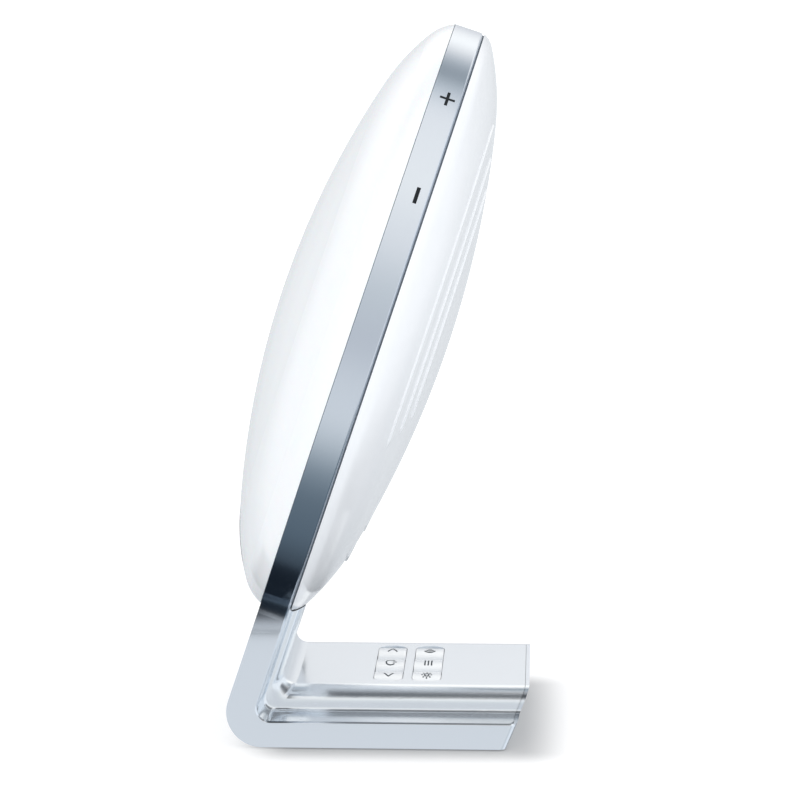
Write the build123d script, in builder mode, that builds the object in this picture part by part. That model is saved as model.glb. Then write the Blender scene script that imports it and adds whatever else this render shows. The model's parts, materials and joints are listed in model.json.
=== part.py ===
"""Sunrise alarm clock: a round lamp head leaning back on an L-shaped stand with six keys.

Millimetres, +Z up. The front faces -Y, the foot of the stand runs back to +Y, and the origin is
on the table under the middle of the object. In the lamp, "forward" is the distance along the
lamp's own axis from the middle of the hoop, and "up" is the distance along its leaning plane.
"""

from build123d import *
from math import cos, radians, sin, sqrt, tan
import os

os.makedirs("parts", exist_ok=True)

# ---------------------------------------------------------------- driving dimensions
# Whole object
tilt = 18.47                    # degrees that the lamp head leans back
depth = 123.4                   # heel of the bend to the top of the foot's end
lamp_radius = 126.0             # outside of the hoop and of both domes
hoop_clearance = 50.09          # height of the hoop's lowest point above the table

# Hoop and seams
hoop_width = 11.9
hoop_wall = 4.0
rib_thickness = 2.4             # web inside the hoop on which both domes and the reflector seat
rib_depth = 11.5                # from the hoop's outside to the rib's inner edge
front_seam = 0.25               # shadow gap between the hoop and the front dome
rear_seam = 0.6
edge_round = 0.6                # rounding of the frame's outer edges

# Front dome: a flat cap, a rounder shoulder and a tight rim
front_apex = 38.9
front_cap_inset = 31.6          # from the lamp's edge to where the cap ends
front_cap_end = 25.9            # how far forward the cap ends
front_rim_round = 19.8
front_rim_lean = 23.6           # degrees between dome and hoop where they meet
dome_wall = 2.2

# Rear dome
rear_apex = 33.3
rear_cap_inset = 35.4
rear_cap_end = 23.3
rear_rim_round = 10.3
rear_rim_lean = 25.3

# Spigots of both domes inside the hoop
spigot_clearance = 0.2
spigot_wall = 2.0

# Raised arcs on both sides of the rear dome, each a step that fades towards the middle
arc_insets = [55.2, 41.6, 27.6]     # each step's distance from the lamp's edge
arc_start_angle = 15.0          # degrees from the top
arc_end_angle = 108.0
arc_step = 0.5
arc_run = 8.0
low_arc_steps = [0.4, 0.8]      # the two outer arcs are there once more at the bottom
low_arc_half_angle = 27.0       # degrees each side of the bottom

# Stand
stand_width = 106.8
strip = 11.4                    # height of the foot's side strip above the table
underside = 0.6                 # height of the foot's base above the table
outer_bend = 14.5
inner_bend = 5.2
neck_round = 11.0               # concave blend between hoop and leg
neck_overlap = 7.0              # how far leg and hoop run into each other
foot_end_slope = 0.416          # the foot's end leans out by this much per mm of height
foot_end_round = 3.0
frame_wall = 2.2
frame_floor = 2.0
rim_lip = 0.9                   # edge of the frame that stays visible round the cover
rim_chamfer = 0.7
end_rim = 1.6                   # thickness of the frame's end wall round the cover

# Inlaid cover
leg_rise = 5.9                  # plateau above the strip along the leg
foot_rise = 11.4                # plateau above the strip along the foot
apron_half_width = 43.6         # where the gentle apron turns up into the flank
apron_share = 0.21              # share of the rise that the apron climbs
flank_half_width = 42.0         # top of the steep flank, before it is rounded
apron_round = 3.0
shoulder_round = 9.0
cover_wall = 2.0
cover_base = 2.0                # flange that lies in the frame's rebate
cover_reach = 1.5               # how far below the plateau its form is drawn, in rises
cavity_reach = 2.5              # the same for the hollow under it
cavity_start = -0.6             # share of the rise at which the hollow's sides start
cover_clearance = 0.15
dome_clearance = 0.3            # between the cover's upper end and the rear dome

# Keys: two rows of three
key_row_length = 61.0
key_row_width = 12.3
key_row_places = [3.1, 19.0]    # distance of each row behind the origin
key_gap = 0.25
key_proud = 0.5
key_crown_radius = 34.0
key_flange = 0.8
key_flange_thickness = 1.0
key_hang = 0.15                 # play between a key's flange and the cover at rest
key_stem_radius = 2.5
key_stem = 2.0
key_travel = 0.6
key_names = [
    ["key_arrow_left", "key_mode", "key_arrow_right"],
    ["key_sound", "key_menu", "key_lamp"],
]

# Reflector, light board and display
sheet = 1.5                     # wall of the inner mouldings
reflector_floor = -8.0          # forward position of the reflector's front surface
reflector_mouth_gap = 1.9       # between the reflector's mouth and the rib's inner edge
reflector_flare = 9.4           # from its floor's edge out to its mouth
reflector_fit = 0.4             # between the reflector's flange and the spigot round it
board_thickness = 1.6
board_corner = 3.0
light_board_radius = 62.0
led_ring_count = 3
led_ring_pitch = 18.0
led_count_step = 6              # diodes that each ring has more than the one inside it
led_size = 3.5
led_height = 0.8
display_gap = 1.0               # between the light board and the display's upper edge
display_width = 58.0
display_height = 22.0
display_face = 22.0             # forward position of the display's face
display_depth = 6.0
display_taper = 6.0             # degrees by which its housing widens towards the front
display_fit = 0.2

# Main board and sockets
main_board_width = 96.0
main_board_height = 72.0
main_board_rise = 29.5          # its middle above the sockets
standoff = 2.4
standoff_radius = 3.0
standoff_inset = 8.0
chip_places = [(0.0, 8.0), (-26.0, 16.0)]       # from the board's middle
chip_size = 12.0
chip_height = 1.6
coil_place = (27.0, 16.0)
coil_size = 12.0
coil_height = 5.0
capacitor_places = [(26.0, -6.0), (-26.0, -6.0)]
capacitor_radius = 5.0
capacitor_height = 7.5
socket_inset = 34.5             # from the lamp's edge
socket_spacing = 18.0
socket_recess_length = 34.0
socket_recess_width = 9.0
socket_floor = -21.2            # forward position of the recess floor
socket_floor_thickness = 2.0
power_body = 9.5
power_nose_radius = 4.0
power_bore_radius = 2.75
power_pin_radius = 1.0
audio_body = 7.5
audio_nose_radius = 3.0
audio_bore_radius = 1.75
socket_depth = 7.0
socket_fit = 0.2

# Key board under the cover
key_board_length = 74.0
key_board_width = 34.0
mat_length = 60.0
mat_width = 26.6
mat_thickness = 1.0
mat_dome_radius = 3.0
mat_dome_height = 0.8
mat_dome_taper = 20.0
mat_gap = 0.15                  # what is left under a key's stem when it is fully down

# Loudspeaker, ballast and rubber strips in the foot
speaker_place = -22.0           # distance of the speaker behind the origin
speaker_radius = 16.0
speaker_rim = 3.0               # width of the gasket and of the basket's flange
speaker_gasket = 0.8
speaker_flange = 1.2
speaker_basket_height = 6.0
cone_sheet = 0.4
cone_depth = 3.0
dust_cap_radius = 4.5
dust_cap_height = 1.2
magnet_radius = 10.0
magnet_height = 4.5
grille_hole_radius = 1.1
grille_pitch = 4.4
grille_rings = 2
grille_count_step = 6           # holes that each ring has more than the one inside it
ballast_half_width = 42.0
ballast_front = -3.0
ballast_rear = 33.0
ballast_thickness = 5.0
ballast_corner = 4.0
pad_length = 76.0
pad_width = 7.0
pad_depth = 0.8                 # how far a strip is let into the base
pad_places = [-40.5, 38.5]

# Fasteners
screw_radius = 1.25
screw_head_radius = 2.5
screw_head_height = 1.3
screw_fit = 0.05
cover_screw_x = 46.5
cover_screw_places = [-27.0, 42.0]
cover_screw_grip = 6.0          # length of screw inside the cover's boss
board_screw_grip = 4.0
boss_radius = 3.2
reflector_screw_count = 6
reflector_screw_inset = 9.4     # from the lamp's edge
reflector_screw_start = 30.0    # degrees from +X

# Ribbon cable from the key board up the leg to the main board
ribbon_width = 12.0
ribbon_thickness = 0.3
ribbon_x = 22.0
ribbon_slot_clearance = 1.0
ribbon_slot_reach = 10.0        # radial reach of the cut, each side of the spigot
ribbon_bend = 3.0
ribbon_channel = -3.4           # forward position of the cable in the leg
ribbon_lap = 3.3                # length that lies on each board

# Touch strip behind the plus and minus marks of the hoop
touch_from = 28.0               # degrees from the top, towards +X
touch_sweep = 37.0
touch_width = 3.2
touch_thickness = 0.6
touch_gap = 0.1

# ---------------------------------------------------------------- derived places
half_hoop = hoop_width / 2
half_rib = rib_thickness / 2
hoop_bore = lamp_radius - hoop_wall
spigot_radius = hoop_bore - spigot_clearance
spigot_inner = spigot_radius - spigot_wall
rib_inner_radius = lamp_radius - rib_depth
half_stand = stand_width / 2
plateau = strip + foot_rise

lean_sin = sin(radians(tilt))
lean_cos = cos(radians(tilt))
lean_tan = tan(radians(tilt))
lamp_height = hoop_clearance + lamp_radius * lean_cos       # lamp centre above the table

heel = -depth / 2
foot_end = depth / 2 - (plateau - underside) * foot_end_slope   # end of the foot at its base
lamp_y = (
    heel + outer_bend - outer_bend * (1 + lean_sin) / lean_cos
    + (lamp_height - underside) * lean_tan + half_hoop / lean_cos
)

lamp = Plane(origin=(0, lamp_y, lamp_height), x_dir=(1, 0, 0), z_dir=(0, -lean_cos, lean_sin))
lamp_axis = Axis(lamp.origin, lamp.z_dir)
front_section = Plane(origin=lamp.origin, x_dir=(1, 0, 0), z_dir=-lamp.y_dir)
rear_section = Plane(origin=lamp.origin, x_dir=(1, 0, 0), z_dir=lamp.y_dir)
end_direction = Axis((0, 0, 0), (0, foot_end_slope, 1))
reflector_screw_places = PolarLocations(
    lamp_radius - reflector_screw_inset, reflector_screw_count, start_angle=reflector_screw_start
).local_locations

socket_up = socket_inset - lamp_radius
main_board_up = socket_up + main_board_rise
display_up = -(light_board_radius + display_gap + display_height / 2)


def lamp_point(forward, up):
    """Side-view (y, z) of a point in the lamp's middle plane."""
    return (
        lamp_y + up * lean_sin - forward * lean_cos,
        lamp_height + up * lean_cos + forward * lean_sin,
    )


def lean_line(forward, height):
    """Side-view (y, z) where a plane parallel to the hoop comes down to a height."""
    return (lamp_y - forward / lean_cos - (lamp_height - height) * lean_tan, height)


def end_line(height, inset=0.0):
    """Side-view (y, z) of the foot's leaning end at a height, moved in by an inset."""
    return (foot_end + (height - underside) * foot_end_slope - inset, height)


# ---------------------------------------------------------------- domes
class Dome:
    """Outside of a dome in half-section: a cap arc, a shoulder arc and a tight arc at its rim."""

    def __init__(self, apex, cap_inset, cap_end, rim_round, rim_lean, seam):
        self.apex = apex
        self.rim = half_hoop + seam
        cap_edge = Vector(lamp_radius - cap_inset, cap_end)
        drop = apex - cap_end
        cap_radius = (cap_edge.X**2 + drop**2) / (2 * drop)
        cap_centre = Vector(0, apex - cap_radius)
        rim_normal = Vector(cos(radians(rim_lean)), sin(radians(rim_lean)))
        rim_centre = Vector(lamp_radius, self.rim) - rim_normal * rim_round
        # The shoulder leaves the cap without a break and runs without one into the rim
        cap_normal = (cap_edge - cap_centre).normalized()
        across = cap_edge - rim_centre
        shoulder_radius = (across.length**2 - rim_round**2) / (
            2 * (across.dot(cap_normal) - rim_round)
        )
        shoulder_centre = cap_edge - cap_normal * shoulder_radius
        turn_normal = (rim_centre - shoulder_centre).normalized()
        turn = shoulder_centre + turn_normal * shoulder_radius
        self.arcs = [
            (cap_centre, cap_radius),
            (shoulder_centre, shoulder_radius),
            (rim_centre, rim_round),
        ]
        self.ends = [(cap_edge, cap_normal), (turn, turn_normal)]

    def joints(self, inset):
        """Where the cap and the shoulder end, on the surface or on one a wall inside it."""
        return [point - normal * inset for point, normal in self.ends]

    def height(self, radius, inset=0.0):
        """Height of the surface at a radius, or of the surface a wall inside it."""
        arc = sum(radius > joint.X for joint in self.joints(inset))
        centre, size = self.arcs[arc]
        return centre.Y + sqrt((size - inset) ** 2 - (radius - centre.X) ** 2)

    def draw(self, edge_radius, inset=0.0):
        """Draw the surface, or the one a wall inside it, from the axis out to a radius."""
        point, heading = Vector(0, self.apex - inset), Vector(1, 0)
        edge = Vector(edge_radius, self.height(edge_radius, inset))
        for arc_end in [joint for joint in self.joints(inset) if joint.X < edge_radius] + [edge]:
            arc = TangentArc(point, arc_end, tangent=heading)
            point, heading = arc @ 1, arc % 1
        return point


front_form = Dome(
    front_apex, front_cap_inset, front_cap_end, front_rim_round, front_rim_lean, front_seam
)
rear_form = Dome(rear_apex, rear_cap_inset, rear_cap_end, rear_rim_round, rear_rim_lean, rear_seam)


def dome_section(form, section):
    """Half-section of a dome's wall with the spigot that enters the hoop."""
    with BuildSketch(section) as wall:
        with BuildLine():
            edge = form.draw(lamp_radius)
            inner_edge = form.draw(spigot_inner, inset=dome_wall)
            Polyline(
                edge,
                (spigot_radius, form.rim),
                (spigot_radius, half_rib),
                (spigot_inner, half_rib),
                inner_edge,
            )
            Line((0, form.apex - dome_wall), (0, form.apex))
        make_face()
    return wall.sketch


with BuildPart() as front_diffuser:
    revolve(dome_section(front_form, front_section), axis=lamp_axis)


def rear_space(clearance):
    """Space that the rear dome and the hoop fill, with a clearance round it."""
    with BuildPart() as space:
        with BuildSketch(rear_section):
            with BuildLine():
                reach = lamp_radius + clearance
                corner = rear_form.draw(reach, inset=-clearance)
                Polyline(corner, (reach, 0), (0, 0), (0, rear_form.apex + clearance))
            make_face()
        revolve(axis=lamp_axis)
    return space.part


def arc_ridge(inset, step, start_angle, arc_size):
    """Raised arc: a steep step outwards that fades into the dome towards the middle."""
    crest = lamp_radius - inset
    foot = crest + step
    fade = crest - arc_run
    path = CenterArc((0, 0), (fade + foot) / 2, start_angle, arc_size)
    with BuildPart() as ridge:
        with BuildSketch(rear_section):
            with BuildLine():
                Polyline(
                    (fade, rear_form.height(fade)),
                    (crest, rear_form.height(crest) + step),
                    (foot, rear_form.height(foot)),
                    (foot, rear_form.height(foot, inset=dome_wall / 2)),
                    (fade, rear_form.height(fade, inset=dome_wall / 2)),
                    close=True,
                )
            make_face()
        revolve(axis=lamp_axis)
        with BuildSketch(lamp):
            SlotArc(path, foot - fade)
        extrude(amount=-(rear_apex + arc_run), mode=Mode.INTERSECT)
    return ridge.part


def ribbon_slot():
    """Cut behind the rib that lets the ribbon cable out of the lamp into the leg."""
    with BuildPart() as slot:
        with BuildSketch(lamp.offset(-half_rib)):
            with Locations((ribbon_x, -spigot_inner)):
                Rectangle(ribbon_width + 2 * ribbon_slot_clearance, 2 * ribbon_slot_reach)
        extrude(amount=-(half_hoop - half_rib))
    return slot.part


arc_size = arc_end_angle - arc_start_angle
ridges = [
    arc_ridge(inset, arc_step, start_angle, arc_size)
    for inset in arc_insets
    for start_angle in (90 - arc_end_angle, 90 + arc_start_angle)
]
ridges += [
    arc_ridge(inset, step, -90 - low_arc_half_angle, 2 * low_arc_half_angle)
    for inset, step in zip(arc_insets[1:], low_arc_steps)
]

with BuildPart() as socket_pad:
    # Thicker wall round the sockets, flush with the outside of the dome
    with BuildSketch(lamp.offset(socket_floor + socket_floor_thickness)):
        with Locations((0, socket_up)):
            SlotOverall(
                socket_recess_length + 2 * dome_wall, socket_recess_width + 2 * dome_wall
            )
    extrude(amount=-rear_apex)
    add(rear_space(0), mode=Mode.INTERSECT)

with BuildPart() as rear_shell:
    revolve(dome_section(rear_form, rear_section), axis=lamp_axis)
    add(socket_pad.part)
    for ridge in ridges:
        add(ridge)
    # Recess that the sockets open into, and their holes
    with BuildSketch(lamp.offset(socket_floor)):
        with Locations((0, socket_up)):
            SlotOverall(socket_recess_length, socket_recess_width)
    extrude(amount=-rear_apex, mode=Mode.SUBTRACT)
    with BuildSketch(lamp):
        with Locations((socket_spacing / 2, socket_up)):
            Circle(power_nose_radius + socket_fit)
        with Locations((-socket_spacing / 2, socket_up)):
            Circle(audio_nose_radius + socket_fit)
    extrude(amount=-rear_apex, mode=Mode.SUBTRACT)
    add(ribbon_slot(), mode=Mode.SUBTRACT)

# ---------------------------------------------------------------- stand
neck_corner_up = -sqrt(lamp_radius**2 - half_stand**2)     # where the leg's sides meet the hoop
leg_top = neck_corner_up + neck_overlap     # the leg is drawn up into the lamp, then cut back
neck_end = -lamp_radius - neck_overlap      # the leg has its plain width below this
base_height = underside + frame_floor
half_cover = half_stand - rim_lip - cover_clearance
cover_screw_points = [
    (side * cover_screw_x, place) for side in (1, -1) for place in cover_screw_places
]

knee_shift = Vector(0, leg_rise / lean_cos + foot_rise * lean_tan, foot_rise)
knee = Vector(0, *lean_line(-half_hoop, strip))
climb = Plane(origin=knee, x_dir=(1, 0, 0), z_dir=Vector(1, 0, 0).cross(knee_shift))


def stand_profile(front, base, leg_face, foot_face, end_inset, heel_round, knee_round, x=0.0):
    """Side view of an L between a front and base surface and a leg and foot surface."""
    heel_corner = lean_line(front, base)
    knee_corner = lean_line(leg_face, foot_face)
    with BuildSketch(Plane.YZ.offset(x)) as side:
        with BuildLine():
            Polyline(
                lamp_point(front, leg_top),
                heel_corner,
                end_line(base, end_inset),
                end_line(foot_face, end_inset),
                knee_corner,
                lamp_point(leg_face, leg_top),
                close=True,
            )
        make_face()
        if heel_round:
            fillet(side.vertices().sort_by_distance(Vector(*heel_corner))[0], heel_round)
        fillet(side.vertices().sort_by_distance(Vector(*knee_corner))[0], knee_round)
    return side.sketch


def shoulder_sweep(half_section, rounds, depth_share):
    """Carry the stand's side view over both shoulders.

    The half section runs from one edge to the plateau, in distances from the middle and shares
    of the climb, so the same shoulder is low along the leg and high along the foot.
    """
    one_side = [(x, share * knee_shift.length) for x, share in half_section]
    points = [(-x, height) for x, height in one_side] + one_side[::-1]
    with BuildLine(climb) as path:
        FilletPolyline(points, radius=rounds + rounds[::-1])
    start_x, top_share = half_section[0]
    low_share = top_share - depth_share
    section = stand_profile(
        -half_hoop - low_share * leg_rise,
        strip + low_share * foot_rise,
        -half_hoop - top_share * leg_rise,
        strip + top_share * foot_rise,
        -end_rim,
        0,
        inner_bend,
        x=-start_x,
    )
    return sweep(section, path=path.wires()[0], normal=(1, 0, 0))


cover_section = [(half_cover, 0), (apron_half_width, apron_share), (flank_half_width, 1)]
cavity_section = [
    (apron_half_width - cover_wall, cavity_start),
    (flank_half_width - cover_wall, 1 - cover_wall / foot_rise),
]


def cover_zone(end_inset):
    """Side view of what lies above the rebate in the frame, up to beyond the plateau."""
    return stand_profile(
        -half_hoop + cover_base,
        strip - cover_base,
        -half_hoop - 2 * leg_rise,
        strip + 2 * foot_rise,
        end_inset,
        inner_bend + cover_base,
        inner_bend,
    )


with BuildPart() as stand_form:
    # Outside of the cover, running past the foot's end and up into the lamp
    add(shoulder_sweep(cover_section, [apron_round, shoulder_round], cover_reach))
    extrude(cover_zone(-end_rim / 2), amount=half_stand, both=True, mode=Mode.INTERSECT)

with BuildPart() as end_block:
    # Leaning end of the foot with its rounded corners, drawn on up past the plateau
    with BuildSketch(Plane.YZ):
        with BuildLine():
            Polyline(
                (0, underside),
                end_line(underside),
                end_line(2 * plateau),
                (0, 2 * plateau),
                close=True,
            )
        make_face()
    extrude(amount=half_stand, both=True)
    fillet(end_block.edges().filter_by(end_direction), foot_end_round)

with BuildPart() as end_wall:
    # Wall that closes the foot, with the cover's shoulders as its outline
    add(stand_form.part)
    add(end_block.part, mode=Mode.INTERSECT)
    with BuildSketch(Plane.YZ):
        with BuildLine():
            Polyline(
                end_line(base_height),
                end_line(2 * plateau),
                end_line(2 * plateau, end_rim),
                end_line(base_height, end_rim),
                close=True,
            )
        make_face()
    extrude(amount=half_stand, both=True, mode=Mode.INTERSECT)

with BuildPart() as tray:
    # Hollow of the leg and foot, and the rebate in which the cover lies
    extrude(
        stand_profile(
            half_hoop - frame_floor, base_height, -half_hoop - leg_rise, plateau, frame_wall,
            outer_bend - frame_floor, inner_bend,
        ),
        amount=half_stand - frame_wall,
        both=True,
    )
    extrude(
        stand_profile(
            -half_hoop + cover_base, strip - cover_base, -half_hoop - leg_rise, plateau,
            end_rim, inner_bend + cover_base, inner_bend,
        ),
        amount=half_stand - rim_lip,
        both=True,
    )
    fillet(tray.edges().filter_by(end_direction), foot_end_round - rim_lip)
    with BuildSketch(lamp):
        Circle(lamp_radius)
    extrude(amount=lamp_radius, both=True, mode=Mode.SUBTRACT)

with BuildPart() as frame:
    with BuildSketch(lamp.offset(-half_hoop)) as face:
        Circle(lamp_radius)
        with Locations((0, (leg_top + neck_end) / 2)):
            Rectangle(stand_width, leg_top - neck_end)
        corners = [
            face.vertices().sort_by_distance(Vector(side * half_stand, neck_corner_up))[0]
            for side in (1, -1)
        ]
        fillet(corners, neck_round)
    extrude(amount=hoop_width)
    extrude(
        stand_profile(
            half_hoop, underside, -half_hoop, strip, 0, outer_bend, inner_bend
        ),
        amount=half_stand,
        both=True,
    )
    fillet(frame.edges().filter_by(end_direction), foot_end_round)
    # Each of these runs on from the hoop's edge round the neck, down the leg and along the foot
    hoop_edges = frame.edges().filter_by(GeomType.CIRCLE).sort_by(SortBy.RADIUS)[-2:]
    chamfer(hoop_edges.sort_by(Axis.Y)[-1], rim_chamfer)
    fillet(frame.edges().filter_by(GeomType.CIRCLE).sort_by(SortBy.RADIUS)[-1], edge_round)
    add(end_wall.part)
    add(tray.part, mode=Mode.SUBTRACT)
    # Bore of the hoop and the rib inside it
    with BuildSketch(lamp.offset(-half_hoop)):
        Circle(hoop_bore)
    extrude(amount=hoop_width, mode=Mode.SUBTRACT)
    with BuildSketch(lamp.offset(-half_rib)):
        Circle(hoop_bore)
        Circle(rib_inner_radius, mode=Mode.SUBTRACT)
        with Locations(*reflector_screw_places):
            Circle(screw_radius + screw_fit, mode=Mode.SUBTRACT)
    extrude(amount=rib_thickness)
    add(ribbon_slot(), mode=Mode.SUBTRACT)
    # Base of the foot: speaker grille, pockets for the rubber strips and screw holes
    with BuildSketch(Plane.XY.offset(underside)):
        for ring in range(grille_rings + 1):
            with Locations((0, speaker_place)):
                with PolarLocations(ring * grille_pitch, max(1, ring * grille_count_step)):
                    Circle(grille_hole_radius)
        with Locations(*cover_screw_points):
            Circle(screw_radius + screw_fit)
    extrude(amount=frame_floor, mode=Mode.SUBTRACT)
    with BuildSketch(Plane.XY.offset(underside)):
        with Locations(*[(0, place) for place in pad_places]):
            SlotOverall(pad_length, pad_width)
    extrude(amount=pad_depth, mode=Mode.SUBTRACT)
    with BuildSketch(Plane.XY.offset(underside)):
        with Locations(*cover_screw_points):
            Circle(screw_head_radius + socket_fit)
    extrude(amount=screw_head_height, mode=Mode.SUBTRACT)

# ---------------------------------------------------------------- cover and keys
ceiling = plateau - cover_wall
flange_top = ceiling - key_hang
flange_bottom = flange_top - key_flange_thickness
stem_bottom = flange_bottom - key_stem
dome_top = stem_bottom - key_travel - mat_gap
mat_top = dome_top - mat_dome_height
board_top = mat_top - mat_thickness
board_bottom = board_top - board_thickness
key_board_middle = sum(key_row_places) / len(key_row_places)
key_pitch = key_row_length / len(key_names[0])
key_columns = [(place - (len(key_names[0]) - 1) / 2) * key_pitch for place in range(3)]
board_boss_x = key_board_length / 2 - boss_radius
board_boss_y = key_board_width / 2 - boss_radius
board_boss_points = [
    (across * board_boss_x, key_board_middle + along * board_boss_y)
    for across in (1, -1) for along in (1, -1)
]

with BuildPart() as stand_cover:
    add(stand_form.part)
    extrude(
        cover_zone(end_rim + cover_clearance), amount=half_stand, both=True, mode=Mode.INTERSECT
    )
    fillet(stand_cover.edges().filter_by(end_direction), foot_end_round - rim_lip)
    add(rear_space(dome_clearance), mode=Mode.SUBTRACT)
    add(
        shoulder_sweep(cavity_section, [shoulder_round - cover_wall], cavity_reach),
        mode=Mode.SUBTRACT,
    )
    # Pockets of the two key rows
    with BuildSketch(Plane.XY.offset(plateau)):
        with Locations(*[(0, place) for place in key_row_places]):
            SlotOverall(key_row_length, key_row_width)
    extrude(amount=-cover_wall, mode=Mode.SUBTRACT)
    # Bosses down to the frame's floor for the cover screws
    with BuildSketch(Plane.XY.offset(base_height)):
        with Locations(*cover_screw_points):
            Circle(boss_radius)
    extrude(amount=strip - base_height)
    with BuildSketch(Plane.XY.offset(base_height)):
        with Locations(*cover_screw_points):
            Circle(screw_radius + screw_fit)
    extrude(amount=cover_screw_grip + screw_fit, mode=Mode.SUBTRACT)
    # Bosses that carry the key board under the plateau
    with BuildSketch(Plane.XY.offset(board_top)):
        with Locations(*board_boss_points):
            Circle(boss_radius)
    extrude(amount=ceiling - board_top)
    with BuildSketch(Plane.XY.offset(board_top)):
        with Locations(*board_boss_points):
            Circle(screw_radius + screw_fit)
    extrude(amount=board_screw_grip + screw_fit, mode=Mode.SUBTRACT)


def key_outline(height, column, row_place, margin):
    """One key's third of the stadium-shaped row, grown or shrunk by a margin."""
    outer = 0 if column == 0 else key_row_length
    left = -outer if column < 0 else column - key_pitch / 2 + key_gap / 2
    right = outer if column > 0 else column + key_pitch / 2 - key_gap / 2
    with BuildSketch(Plane.XY.offset(height)) as outline:
        with Locations((0, row_place)):
            SlotOverall(key_row_length + 2 * margin, key_row_width + 2 * margin)
        with Locations(((left + right) / 2, row_place)):
            Rectangle(right - left, 2 * key_row_width, mode=Mode.INTERSECT)
    return outline.sketch


keys = []
for row_place, row_names in zip(key_row_places, key_names):
    for column, key_name in zip(key_columns, row_names):
        with BuildPart() as key:
            extrude(
                key_outline(flange_bottom, column, row_place, -key_gap),
                amount=plateau + key_proud - flange_bottom,
            )
            with Locations((column, row_place, plateau + key_proud - key_crown_radius)):
                Cylinder(key_crown_radius, key_row_width, rotation=(90, 0, 0), mode=Mode.INTERSECT)
            extrude(
                key_outline(flange_bottom, column, row_place, key_flange),
                amount=key_flange_thickness,
            )
            with BuildSketch(Plane.XY.offset(stem_bottom)):
                with Locations((column, row_place)):
                    Circle(key_stem_radius)
            extrude(amount=key_stem)
        key.part.label = key_name
        keys.append(key)

with BuildPart() as key_mat:
    # Silicone mat with a dome under each key
    with BuildSketch(Plane.XY.offset(board_top)):
        with Locations((0, key_board_middle)):
            RectangleRounded(mat_length, mat_width, board_corner)
    extrude(amount=mat_thickness)
    with BuildSketch(Plane.XY.offset(mat_top)):
        with Locations(*[(column, place) for column in key_columns for place in key_row_places]):
            Circle(mat_dome_radius)
    extrude(amount=mat_dome_height, taper=mat_dome_taper)

with BuildPart() as key_board:
    with BuildSketch(Plane.XY.offset(board_bottom)):
        with Locations((0, key_board_middle)):
            RectangleRounded(key_board_length, key_board_width, board_corner)
        with Locations(*board_boss_points):
            Circle(screw_radius + screw_fit, mode=Mode.SUBTRACT)
    extrude(amount=board_thickness)


def screws(plane, points, grip):
    """Screws whose heads stand on a plane's back and whose shanks run along its normal."""
    with BuildPart() as group:
        with BuildSketch(plane):
            with Locations(*points):
                Circle(screw_radius)
        extrude(amount=grip)
        with BuildSketch(plane):
            with Locations(*points):
                Circle(screw_head_radius)
        extrude(amount=-screw_head_height)
    return group


cover_screws = screws(
    Plane.XY.offset(underside + screw_head_height),
    cover_screw_points,
    frame_floor - screw_head_height + cover_screw_grip,
)
key_board_screws = screws(
    Plane.XY.offset(board_bottom), board_boss_points, board_thickness + board_screw_grip
)

# ---------------------------------------------------------------- inside the foot
with BuildPart() as ballast_plate:
    with BuildSketch(Plane.XY.offset(base_height)):
        with Locations((0, (ballast_front + ballast_rear) / 2)):
            RectangleRounded(2 * ballast_half_width, ballast_rear - ballast_front, ballast_corner)
    extrude(amount=ballast_thickness)

with BuildPart() as rubber_strips:
    with BuildSketch(Plane.XY):
        with Locations(*[(0, place) for place in pad_places]):
            SlotOverall(pad_length, pad_width)
    extrude(amount=underside + pad_depth)

speaker = Plane.XY.offset(base_height).shift_origin((0, speaker_place, base_height))
speaker_section = Plane(origin=speaker.origin, x_dir=(1, 0, 0), z_dir=(0, -1, 0))
speaker_axis = Axis(speaker.origin, (0, 0, 1))
cone_mouth = speaker_radius - speaker_rim
cone_rim_top = speaker_gasket + cone_sheet
flange_rear = cone_rim_top + speaker_flange
basket_top = cone_rim_top + speaker_basket_height

with BuildPart() as speaker_gasket_ring:
    with BuildSketch(speaker):
        Circle(speaker_radius)
        Circle(cone_mouth, mode=Mode.SUBTRACT)
    extrude(amount=speaker_gasket)

with BuildPart() as speaker_cone:
    # Paper cone whose flat rim is held between the gasket and the basket
    with BuildSketch(speaker_section):
        with BuildLine():
            cap = TangentArc(
                (0, speaker_gasket + cone_depth - dust_cap_height),
                (dust_cap_radius, speaker_gasket + cone_depth),
                tangent=(1, 0),
            )
            Polyline(
                cap @ 1,
                (cone_mouth - cone_sheet, speaker_gasket),
                (speaker_radius, speaker_gasket),
                (speaker_radius, cone_rim_top),
                (cone_mouth - cone_sheet, cone_rim_top),
                (dust_cap_radius, speaker_gasket + cone_depth + cone_sheet),
                (0, speaker_gasket + cone_depth + cone_sheet),
                cap @ 0,
            )
        make_face()
    revolve(axis=speaker_axis)

with BuildPart() as speaker_basket:
    with BuildSketch(speaker_section):
        with BuildLine():
            Polyline(
                (cone_mouth, cone_rim_top),
                (speaker_radius, cone_rim_top),
                (speaker_radius, flange_rear),
                (cone_mouth + speaker_flange, flange_rear),
                (magnet_radius, basket_top),
                (dust_cap_radius, basket_top),
                (dust_cap_radius, basket_top - speaker_flange),
                (magnet_radius - speaker_flange, basket_top - speaker_flange),
                close=True,
            )
        make_face()
    revolve(axis=speaker_axis)

with BuildPart() as speaker_magnet:
    with BuildSketch(speaker.offset(basket_top)):
        Circle(magnet_radius)
    extrude(amount=magnet_height)

# ---------------------------------------------------------------- inside the lamp
board_front = reflector_floor - sheet - standoff
board_rear = board_front - board_thickness
board_low = main_board_up - main_board_height / 2
standoff_points = [
    (across * (main_board_width / 2 - standoff_inset),
     main_board_up + along * (main_board_height / 2 - standoff_inset))
    for across in (1, -1) for along in (1, -1)
]
reflector_mouth_radius = rib_inner_radius - reflector_mouth_gap
reflector_floor_radius = reflector_mouth_radius - reflector_flare
slope_shift = sheet * reflector_flare / (half_rib + sheet - reflector_floor)

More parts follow.
